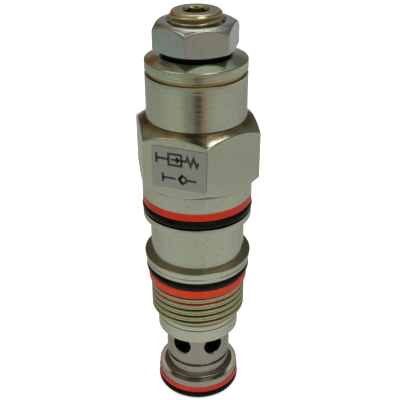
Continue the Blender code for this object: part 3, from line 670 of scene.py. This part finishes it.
def make_nose():
    """Nose piece with a filleted neck over the lower gland."""
    neck, bend = 6.85, 0.8
    fillet = [
        (neck + bend + bend * math.cos(a), 6.17 + bend * math.sin(a), 0.0)
        for a in np.radians(np.linspace(180, 270, 9))
    ]
    outline = [
        (6.0, 9.55), (6.0, 8.18), (neck, 8.18, 0.12), *fillet, (8.62, 5.37, 0.1), (8.62, 3.78, 0.08),
        (7.1, 3.78), (7.1, 0.75), (8.0, 0.75, 0.06), (8.0, 0.4, 0.1), (7.6, 0.0, 0.1), (4.0, 0.0, 0.1),
        (3.6, 0.4, 0.1), (3.6, 1.2), (5.3, 1.2), (5.3, 9.55),
    ]
    nose = lathe("nose_retainer_fine", outline)
    finish_piece(nose, "nose_assembly", ["nose_retainer"], "ground_steel", STEEL_TURNED, FILLET_SHADE_STEEL)
    # The lower part of the fillet takes the dark steel: painted shade.
    paint(nose, lambda out, height, slope: int(5.3 < height < 6.1 and out < 7.7 and slope > 0.25))


# ---------------------------------------------------------------- adjuster

SCREW_PITCH = 1.058
SCREW_START = 80.09  # height of a crest at angle 0
SCREW_TOP = 84.75
SCREW_ROOT = 4.3  # radius
NUT_TURN = 36.0
SOCKET_TURN = 19.0


def screw_thread(angles, high, low, step=0.06):
    """Rows of the screw's thread from its rounded top shoulder down to its run-out."""
    rows, bends = [], []
    face, bend = 4.0, 0.85
    for height in np.linspace(high, low, round((high - low) / step) + 1):
        up = ridge(off_crest(angles, height, SCREW_START, SCREW_PITCH))
        shoulder = max(0.0, 1.0 - (SCREW_TOP - height) / bend)
        limit = min(face + bend * math.sqrt(1.0 - shoulder**2), SCREW_ROOT + 0.05 + (height - low))
        radius = np.minimum(SCREW_ROOT + 0.55 * up, max(limit, SCREW_ROOT))
        rows.append(level_row(radius, height))
        # Bend values make the roots darker, painted shade, and the crests lighter, painted highlight.
        bends.append((up - 0.5) * 1.1)
    return rows, bends


def screw_material(out, height, slope):
    """Index of a face's material: 1 in the key socket, 2, a brighter copy for painted highlight, on the
    thread and shoulder that show.
    """
    # The key socket takes the darker groove zinc: painted shade.
    if out < 2.35 and height < SCREW_TOP - 0.25:
        return 1
    return 2 if out > 4.05 and height > 70.0 else 0


def make_screw():
    """Adjusting screw with a key socket in its top."""
    angles = hex_angles(SOCKET_TURN, 120, 1.3)
    count = len(angles)
    socket = hex_radius(angles, 3.969, SOCKET_TURN, 0.08)
    rim = 2.55
    top = soften(
        [
            (0.0, 80.1, 0.0), (1.2, 80.5, 0.1), (socket, 80.55, 0.06),
            (socket, SCREW_TOP - (rim - socket) * 0.667, 0.07), (rim, SCREW_TOP, 0.08),
            (4.0, SCREW_TOP, 0.1), (4.29, SCREW_TOP - 0.05, 0.05), (4.48, SCREW_TOP - 0.15, 0.05),
            (4.6, SCREW_TOP - 0.27, 0.05),
        ],
        count, closed=False,
    )
    foot = [(SCREW_ROOT, 69.1), (SCREW_ROOT, 69.0, 0.03), (3.0, 69.0), (3.0, 68.3, 0.15), (0.0, 68.3, 0.0)]
    foot = soften(foot, count, closed=False)
    thread = screw_thread(angles, SCREW_TOP - 0.4, 69.15)
    screw = skin("adjusting_screw_fine", [top, thread, foot], angles)
    finish_piece(
        screw, "adjusting_screw", ["adjusting_screw"], "yellow_zinc_plate",
        YELLOW_ZINC, SHADED_GROOVE_ZINC, LIT_GOLDEN_ZINC,
    )
    paint(screw, screw_material)


def make_nut():
    """Thin hexagon nut with a slightly domed top and a thread in its bore."""
    angles = hex_angles(NUT_TURN, 120, 1.35)
    count = len(angles)
    corner = hex_radius(angles, 14.288, NUT_TURN, 0.3)
    low, high = 77.7, 82.95
    face = 6.95
    bore, mouth = 5.0, 0.55
    upper = high - 0.2 - (corner - face) * TAN30
    lower = low + (corner - face) * math.tan(math.radians(20))
    outside = soften(
        [
            (bore + mouth, high, 0.1), (face - 0.85, high, 0.15), (face - 0.1, high - 0.17, 0.25),
            (corner, upper, 0.75), (corner, lower, 0.08), (face, low, 0.1), (bore + mouth, low, 0.08),
            (bore, low + mouth, 0.0),
        ],
        count, closed=False,
    )
    rows, bends = [], []
    for height in np.linspace(low + mouth, high - mouth, 70):
        up = ridge(off_crest(angles, height, SCREW_START, SCREW_PITCH))
        edge = min(height - low - mouth, high - mouth - height)
        radius = np.maximum(np.minimum(4.43 + 0.57 * up, bore), bore - edge)
        rows.append(level_row(radius, height))
        # Bend values make the roots darker, painted shade, and the crests lighter, painted highlight.
        bends.append((0.5 - up) * 0.4)
    nut = skin("lock_nut_fine", [outside, (rows, bends)], angles)
    finish_piece(nut, "lock_nut", ["lock_nut"], "blue_zinc_plate", BLUE_ZINC)


# ---------------------------------------------------------------- inside

SEAT_LINE = 9.69  # height at which the poppet meets its seat
# Turned pieces inside the valve: node, body, segments and outline
INSIDE = (
    ("upper_spring_seat", "spring_adjuster", 96, (
        (0.0, 68.2, 0.0), (6.05, 68.2, 0.15), (6.05, 67.1), (5.1, 67.1), (5.1, 65.7), (6.05, 65.7),
        (6.05, 64.5, 0.1), (3.6, 64.5), (3.4, 63.2, 0.3), (0.0, 63.2, 0.0),
    )),
    ("lower_spring_seat", "poppet", 96, (
        (0.0, 49.6, 0.0), (3.4, 49.6, 0.3), (3.6, 48.3), (5.9, 48.3, 0.1), (5.9, 46.9, 0.1),
        (5.6, 46.6, 0.1), (0.0, 46.6, 0.0),
    )),
    ("poppet_piston", "poppet", 120, (
        (0.0, 46.5, 0.0), (2.6, 46.5, 0.2), (2.6, 44.0, 0.1), (5.05, 44.0, 0.15), (5.05, 42.0),
        (4.0, 42.0), (4.0, 40.3), (5.05, 40.3), (5.05, 38.5, 0.15), (4.05, 38.5, 0.1),
        (4.05, 18.2, 0.2), (2.4, 16.8, 0.3), (2.4, 12.0, 0.4), (3.6, 10.95, 0.1),
        (3.6, SEAT_LINE + 0.8, 0.05), (1.5, SEAT_LINE - 1.3, 0.2), (0.0, SEAT_LINE - 1.3, 0.0),
    )),
    ("check_seat", "check_seat", 120, (
        (3.6, 10.35, 0.05), (5.15, 10.35, 0.1), (5.15, 8.0), (4.35, 8.0), (4.35, 6.8), (5.15, 6.8),
        (5.15, 6.0, 0.1), (3.0, 6.0, 0.1), (2.8, 6.2, 0.1), (2.8, 9.55, 0.05),
    )),
)


def make_inside():
    for name, body, count, outline in INSIDE:
        piece = lathe(name + "_fine", outline, even_angles(count))
        finish_piece(piece, body, [name], "hardened_steel", HARD_STEEL)


def spring_wire(name, mean, wire, low, high, turns, part=(0.0, 1.0), per_turn=40, sides=16):
    """A compression spring with closed and ground ends, or the part between two shares of its turns."""
    pitch_closed = wire * 1.04
    bottom, top = low + wire / 2, high - wire / 2
    pitch_open = (top - bottom - 2 * pitch_closed) / (turns - 2)
    turn = turns * np.linspace(part[0], part[1], round(turns * (part[1] - part[0]) * per_turn) + 1)
    closed = np.minimum(turn, 1.0) + np.maximum(turn - (turns - 1), 0.0)
    opened = np.clip(turn - 1.0, 0.0, turns - 2)
    height = bottom + closed * pitch_closed + opened * pitch_open
    angle = math.tau * turn
    around = np.arange(sides) * math.tau / sides
    out = mean + wire / 2 * np.cos(around)[None, :]
    points = np.zeros((len(turn), sides, 3))
    points[:, :, 0] = out * np.cos(angle)[:, None]
    points[:, :, 1] = out * np.sin(angle)[:, None]
    points[:, :, 2] = np.clip(height[:, None] + wire / 2 * np.sin(around)[None, :], low, high)
    k0, i0 = np.meshgrid(np.arange(len(turn) - 1), np.arange(sides), indexing="ij")
    i1 = (i0 + 1) % sides
    quads = np.stack(
        [k0 * sides + i0, (k0 + 1) * sides + i0, (k0 + 1) * sides + i1, k0 * sides + i1], -1
    ).reshape(-1, 4)
    ends = [list(range(sides)), list(range((len(turn) - 1) * sides, len(turn) * sides))[::-1]]
    mesh = bpy.data.meshes.new(name)
    mesh.from_pydata((points.reshape(-1, 3) * MM).tolist(), [], quads.tolist() + ends)
    shape = bmesh.new()
    shape.from_mesh(mesh)
    bmesh.ops.recalc_face_normals(shape, faces=shape.faces)
    if shape.calc_volume(signed=True) < 0:
        bmesh.ops.reverse_faces(shape, faces=shape.faces)
    shape.to_mesh(mesh)
    shape.free()
    mesh.shade_smooth()
    mesh.set_sharp_from_angle(angle=math.radians(50))
    mesh.materials.append(SPRING_STEEL)
    return link_object(name, mesh)


def make_springs():
    """The main spring, built in two halves, and the check spring."""
    low, high = 48.4, 64.4
    lower = spring_wire("main_spring_lower", 4.75, 1.5, low, high, 6.5, (0.0, 0.5))
    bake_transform(lower)
    upper = spring_wire("main_spring_upper", 4.75, 1.5, low, high, 6.5, (0.5, 1.0))
    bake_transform(upper)
    check = spring_wire("check_spring_fine", 4.6, 0.7, 1.3, 5.9, 3.5)
    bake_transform(check)
    for obj, node in ((lower, "main_spring"), (upper, "main_spring"), (check, "check_spring")):
        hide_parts(node)


# ---------------------------------------------------------------- label

LABEL_X = (-4.6, 6.15)
LABEL_Z = (54.2, 62.4)
LABEL_Y = -HEX_AF / 2 - 0.02
FOIL_THICK = 0.12


def make_label():
    """Foil with rounded corners and a softened rim."""
    shape = bmesh.new()
    corner = 0.35
    points = []
    for cx, cz, start in (
        (LABEL_X[1] - corner, LABEL_Z[1] - corner, 0),
        (LABEL_X[0] + corner, LABEL_Z[1] - corner, 90),
        (LABEL_X[0] + corner, LABEL_Z[0] + corner, 180),
        (LABEL_X[1] - corner, LABEL_Z[0] + corner, 270),
    ):
        for a in np.radians(start + np.linspace(0, 90, 7)):
            points.append((cx + corner * math.cos(a), cz + corner * math.sin(a)))
    verts = [shape.verts.new((x * MM, LABEL_Y * MM, z * MM)) for x, z in points]
    face = shape.faces.new(verts)
    solid = bmesh.ops.extrude_face_region(shape, geom=[face])
    moved = [v for v in solid["geom"] if isinstance(v, bmesh.types.BMVert)]
    bmesh.ops.translate(shape, verts=moved, vec=(0.0, -FOIL_THICK * MM, 0.0))
    rim = [e for e in shape.edges if all(v in moved for v in e.verts)]
    bmesh.ops.bevel(shape, geom=rim, offset=0.03 * MM, segments=2, affect="EDGES", profile=0.5)
    bmesh.ops.recalc_face_normals(shape, faces=shape.faces)
    mesh = bpy.data.meshes.new("label_foil_fine")
    shape.to_mesh(mesh)
    shape.free()
    obj = link_object("label_foil_fine", mesh)
    finish_piece(obj, "valve_body", ["identification_label"], "label_foil", FOIL)


def stroke(shape, path, width, height):
    """A raised line of ink through (x, z) points, with mitred corners."""
    points = [Vector(p) for p in path]
    closed = (points[0] - points[-1]).length < 1e-6
    if closed:
        points.pop()
    count = len(points)
    left, right = [], []
    for k in range(count):
        back = points[k] - points[k - 1] if (closed or k) else points[1] - points[0]
        ahead = points[(k + 1) % count] - points[k] if (closed or k < count - 1) else back
        back, ahead = back.normalized(), ahead.normalized()
        across = Vector((-(back + ahead).y, (back + ahead).x)).normalized()
        reach = width / 2 / max(0.35, across.dot(Vector((-back.y, back.x))))
        left.append(points[k] + across * reach)
        right.append(points[k] - across * reach)
    bottom = LABEL_Y - FOIL_THICK
    rings = []
    for y in (bottom + 0.005, bottom - height):
        for side in (left, right):
            rings.append([shape.verts.new((p.x * MM, y * MM, p.y * MM)) for p in side])
    low_left, low_right, top_left, top_right = rings
    last = count if closed else count - 1
    for k in range(last):
        n = (k + 1) % count
        shape.faces.new((top_left[k], top_right[k], top_right[n], top_left[n]))
        shape.faces.new((low_left[k], low_left[n], low_right[n], low_right[k]))
        shape.faces.new((top_left[k], top_left[n], low_left[n], low_left[k]))
        shape.faces.new((top_right[k], low_right[k], low_right[n], top_right[n]))
    if not closed:
        shape.faces.new((top_left[0], low_left[0], low_right[0], top_right[0]))
        shape.faces.new((top_left[-1], top_right[-1], low_right[-1], low_left[-1]))


def make_print():
    """A relief valve with its spring and pilot line, over a check valve, as plain line symbols."""
    shape = bmesh.new()
    wide, high = 0.46, 0.02
    top, low = 60.1, 56.3
    ball = 0.62
    circle = [(1.62 + ball * math.cos(a), low + ball * math.sin(a)) for a in np.linspace(0, math.tau, 25)]
    zigzag = [(2.2, 0.0), (2.5, 0.8), (3.1, -0.8), (3.7, 0.8), (4.3, -0.8), (4.6, 0.0)]
    lines = [
        [(-1.2, top + 1.1), (-1.2, top - 1.1), (1.3, top - 1.1), (1.3, top + 1.1), (-1.2, top + 1.1)],
        [(-3.6, top), (-1.2, top)],
        [(1.3, top), *((x, top + z) for x, z in zigzag)],
        [(-0.75, top), (0.85, top)],
        [(0.25, top + 0.5), (0.85, top), (0.25, top - 0.5)],
        [(-3.6, top - 1.0), (-3.6, top + 1.0)],
        [(-2.4, low), (0.1, low)],
        [(1.55, low + 1.05), (0.75, low), (1.55, low - 1.05)],
        circle,
        [(2.4, low), (4.2, low)],
        [(-2.4, low + 0.9), (-2.4, low - 0.9)],
    ]
    for path in lines:
        stroke(shape, path, wide, high)
    bmesh.ops.recalc_face_normals(shape, faces=shape.faces)
    mesh = bpy.data.meshes.new("label_print")
    shape.to_mesh(mesh)
    shape.free()
    obj = link_object("label_print", mesh)
    obj.data.materials.append(INK)
    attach(obj, "valve_body")


make_body()
make_cap()
make_collar()
make_round_rings()
make_backup_rings()
make_sleeve()
make_nose()
make_screw()
make_nut()
make_inside()
make_springs()
make_label()
make_print()


# ---------------------------------------------------------------- studio

CAMERA_TURN = 21.1  # how far right of the label's normal the camera stands
FLOOR_LIFT = 0.62  # light of the floor's own where the camera sees it


def make_floor():
    """A plain pale floor. Polished surfaces see it as a soft pattern of lit and shaded card."""
    reach = 3.0
    corners = [(-reach, -reach, 0), (reach, -reach, 0), (reach, reach, 0), (-reach, reach, 0)]
    mesh = bpy.data.meshes.new("floor")
    mesh.from_pydata(corners, [], [(0, 1, 2, 3)])
    floor = link_object("floor", mesh)
    material, tree, shader = new_material("Pale floor", (0.80, 0.80, 0.78), 0.6, 0.0)
    shader.inputs["Specular IOR Level"].default_value = 0.1
    lift = add(tree, "ShaderNodeEmission", {"Color": (1.0, 1.0, 1.0, 1.0), "Strength": FLOOR_LIFT})
    both = add(tree, "ShaderNodeAddShader", {0: shader.outputs[0], 1: lift.outputs[0]})
    card = add(tree, "ShaderNodeEmission", {"Color": card_colour(tree)})
    seen = add(tree, "ShaderNodeLightPath").outputs["Is Camera Ray"]
    chosen = add(tree, "ShaderNodeMixShader", {0: seen, 1: card.outputs[0], 2: both.outputs[0]})
    tree.links.new(chosen.outputs[0], tree.nodes["Material Output"].inputs["Surface"])
    floor.data.materials.append(material)


def toward(turn, rise):
    """Unit direction: turn is in degrees to the right of the line towards the camera, rise above level."""
    around, up = math.radians(CAMERA_TURN - 90.0 + turn), math.radians(rise)
    return (math.cos(around) * math.cos(up), math.sin(around) * math.cos(up), math.sin(up))


# What polished walls see on the floor round the valve: colours by turn from the line towards the camera.
# The closest card shows in the walls near the floor and the farthest one in the nut.
CLOSE_CARD = (
    (-180, (0.56, 0.56, 0.56)), (-95, (0.64, 0.65, 0.63)), (-50, (0.80, 0.81, 0.78)),
    (50, (0.82, 0.83, 0.80)), (95, (0.68, 0.69, 0.67)), (180, (0.58, 0.58, 0.58)),
)
NEAR_CARD = (
    (-180, (0.60, 0.60, 0.58)), (-110, (0.60, 0.61, 0.58)), (-65, (0.70, 0.71, 0.69)),
    (0, (0.66, 0.67, 0.65)), (65, (0.72, 0.73, 0.71)), (110, (0.65, 0.66, 0.64)),
    (180, (0.60, 0.60, 0.58)),
)
HEX_CARD = (
    (-180, (0.58, 0.58, 0.57)), (-42, (0.54, 0.55, 0.50)), (78, (0.51, 0.53, 0.50)),
    (180, (0.58, 0.58, 0.57)),
)
CAP_CARD = (
    (-180, (0.58, 0.58, 0.58)), (-120, (0.53, 0.53, 0.50)), (-90, (0.52, 0.53, 0.48)),
    (-55, (0.66, 0.67, 0.64)), (-34, (0.62, 0.64, 0.60)), (-24, (0.40, 0.41, 0.37)),
    (-12, (0.32, 0.33, 0.29)), (-6, (0.18, 0.18, 0.15)), (1, (0.0, 0.0, 0.0)), (8, (0.07, 0.03, 0.02)),
    (14, (0.44, 0.22, 0.15)), (22, (0.50, 0.47, 0.41)), (45, (0.66, 0.67, 0.65)),
    (90, (0.60, 0.62, 0.60)), (125, (0.54, 0.56, 0.55)), (180, (0.58, 0.58, 0.60)),
)
NUT_CARD = (
    (-180, (0.62, 0.62, 0.60)), (-125, (0.42, 0.48, 0.42)), (-50, (0.42, 0.48, 0.41)),
    (-5, (0.50, 0.43, 0.35)), (60, (0.52, 0.46, 0.37)), (125, (0.78, 0.78, 0.77)),
    (180, (0.74, 0.74, 0.73)),
)
# Each card runs out to a distance from the axis, then gives way to the next one over a stretch, in metres
CARDS = (
    (CLOSE_CARD, 0.045, 0.060),
    (NEAR_CARD, 0.106, 0.113),
    (HEX_CARD, 0.140, 0.155),
    (CAP_CARD, 0.232, 0.250),
    (NUT_CARD, None, None),
)


def card_colour(tree):
    """The floor's reflected colour: one card inside another, each with its own ramp round the valve."""
    place = add(tree, "ShaderNodeTexCoord").outputs["Object"]
    ahead, across = (
        add(tree, "ShaderNodeVectorMath", {0: place, 1: toward(turn, 0.0)}, operation="DOT_PRODUCT")
        for turn in (0.0, 90.0)
    )
    turn = add(
        tree, "ShaderNodeMath", {0: across.outputs["Value"], 1: ahead.outputs["Value"]}, operation="ARCTAN2"
    ).outputs[0]
    share = span(tree, turn, -math.pi, math.pi)
    away = add(tree, "ShaderNodeVectorMath", {0: place}, operation="LENGTH").outputs["Value"]
    colour = stops(tree, share, CARDS[0][0])
    for (_, full, gone), (card, _, _) in zip(CARDS, CARDS[1:]):
        colour = mix(tree, span(tree, away, full, gone), colour, stops(tree, share, card))
    return colour


def stops(tree, share, colours):
    """A colour ramp with its stops at these turns."""
    made = add(tree, "ShaderNodeValToRGB", {"Fac": share})
    points = made.color_ramp.elements
    while len(points) < len(colours):
        points.new(0.5)
    for point, (turn, colour) in zip(points, colours):
        point.position = turn / 360.0 + 0.5
        point.color = (*colour, 1.0)
    return made.outputs["Color"]


ROOM_LIGHTS = (
    # turn, rise, full within, gone beyond, colour; a negative colour is a dark card
    (180.0, 14.0, 7.0, 22.0, (0.25, 0.27, 0.28)),
    (180.0, 44.0, 6.0, 14.0, (1.20, 1.22, 1.18)),
    (180.0, 62.0, 6.0, 15.0, (1.30, 1.30, 1.25)),
    (40.0, 60.0, 8.0, 18.0, (1.60, 1.70, 1.55)),
    (0.0, 48.0, 18.0, 42.0, (0.24, 0.24, 0.22)),
    (92.0, 77.0, 1.5, 3.5, (3.60, 3.50, 3.20)),
    (101.0, 73.5, 2.0, 4.0, (4.00, 3.90, 3.60)),
    (107.0, 67.5, 2.0, 4.5, (3.60, 3.50, 3.20)),
    (114.0, 61.5, 2.0, 4.5, (3.20, 3.10, 2.90)),
    (-82.0, 58.0, 7.0, 20.0, (0.95, 0.93, 0.85)),
    (-148.0, 70.0, 3.0, 8.0, (0.50, 0.42, 0.44)),
    (158.0, 54.0, 4.0, 18.0, (0.24, 0.34, 0.34)),
    (142.0, 43.0, 3.0, 9.0, (0.14, 0.15, 0.16)),
    (123.0, 74.0, 4.0, 13.0, (0.42, 0.28, 0.20)),
    (128.0, 60.0, 4.0, 14.0, (0.12, 0.09, 0.09)),
    (-123.0, 74.0, 4.0, 12.0, (0.28, 0.22, 0.09)),
    (-125.0, 60.0, 5.0, 16.0, (0.22, 0.16, 0.05)),
    (-147.0, 44.0, 6.0, 18.0, (0.17, 0.16, 0.07)),
    (-158.0, 25.0, 5.0, 16.0, (0.06, -0.10, -0.11)),
)


def make_world():
    """A dim room, darkest overhead, with a few soft lamps and cards. The camera sees it as white."""
    world = bpy.data.worlds.new("Studio")
    bpy.context.scene.world = world
    world.use_nodes = True
    tree = world.node_tree
    direction = add(tree, "ShaderNodeTexCoord").outputs["Generated"]
    up = add(tree, "ShaderNodeSeparateXYZ", {0: direction}).outputs["Z"]
    colour = mix(tree, span(tree, up, 0.965, 0.995), (0.21, 0.20, 0.165), (0.04, 0.03, 0.015))
    for turn, rise, full, gone, tint in ROOM_LIGHTS:
        near = add(
            tree, "ShaderNodeVectorMath", {0: direction, 1: toward(turn, rise)}, operation="DOT_PRODUCT"
        ).outputs["Value"]
        edge, core = math.cos(math.radians(gone)), math.cos(math.radians(full))
        inputs = {"Value": near, "From Min": edge, "From Max": core}
        shine = add(tree, "ShaderNodeMapRange", inputs, interpolation_type="SMOOTHSTEP").outputs[0]
        lamp = add(tree, "ShaderNodeVectorMath", {0: tint, "Scale": shine}, operation="SCALE").outputs[0]
        colour = add(tree, "ShaderNodeVectorMath", {0: colour, 1: lamp}, operation="ADD").outputs[0]
    room = tree.nodes["Background"]
    tree.links.new(colour, room.inputs["Color"])
    white = add(tree, "ShaderNodeBackground", {"Color": (1.0, 1.0, 1.0, 1.0), "Strength": 1.0})
    seen = add(tree, "ShaderNodeLightPath").outputs["Is Camera Ray"]
    chosen = add(tree, "ShaderNodeMixShader", {0: seen, 1: room.outputs[0], 2: white.outputs[0]})
    tree.links.new(chosen.outputs[0], tree.nodes["World Output"].inputs["Surface"])


def softbox(name, place, aim, size, power):
    """A soft lamp that polished surfaces don't mirror."""
    light = bpy.data.lights.new(name, "AREA")
    light.shape = "RECTANGLE"
    light.size, light.size_y = size
    light.energy = power
    obj = link_object(name, light)
    obj.location = place
    obj.rotation_mode = "QUATERNION"
    obj.rotation_quaternion = (Vector(aim) - Vector(place)).to_track_quat("-Z", "Y")
    obj.visible_glossy = False


def from_camera(turn, distance, height):
    """A place in metres: turn is in degrees to the right of the line towards the camera, seen from above."""
    angle = math.radians(CAMERA_TURN - 90.0 + turn)
    return (distance * math.cos(angle), distance * math.sin(angle), height)


def make_lights():
    for name, turn in (("front_left", -35), ("front_right", 30)):
        softbox(name, from_camera(turn, 0.45, 0.62), (0.0, 0.0, 0.04), (0.40, 0.30), 2.1)


def make_camera():
    """The photo's camera: its angles, and its place in metres."""
    turn = math.radians(CAMERA_TURN)
    pitch = math.radians(28.691)
    roll = math.radians(-0.3792)
    away, height = 0.13238, 0.11853
    data = bpy.data.cameras.new("Camera")
    camera = link_object("Camera", data)
    data.sensor_width = 36.0
    data.lens = 67.07
    data.shift_x = 0.00703
    data.clip_start = 0.01
    data.clip_end = 20.0
    camera.matrix_world = (
        Matrix.Translation((away * math.sin(turn), -away * math.cos(turn), height))
        @ Matrix.Rotation(turn, 4, "Z")
        @ Matrix.Rotation(math.pi / 2 - pitch, 4, "X")
        @ Matrix.Rotation(roll, 4, "Z")
    )
    bpy.context.scene.camera = camera


make_floor()
make_world()
make_lights()
make_camera()
bpy.context.scene.view_settings.view_transform = "Standard"

bpy.context.view_layer.update()
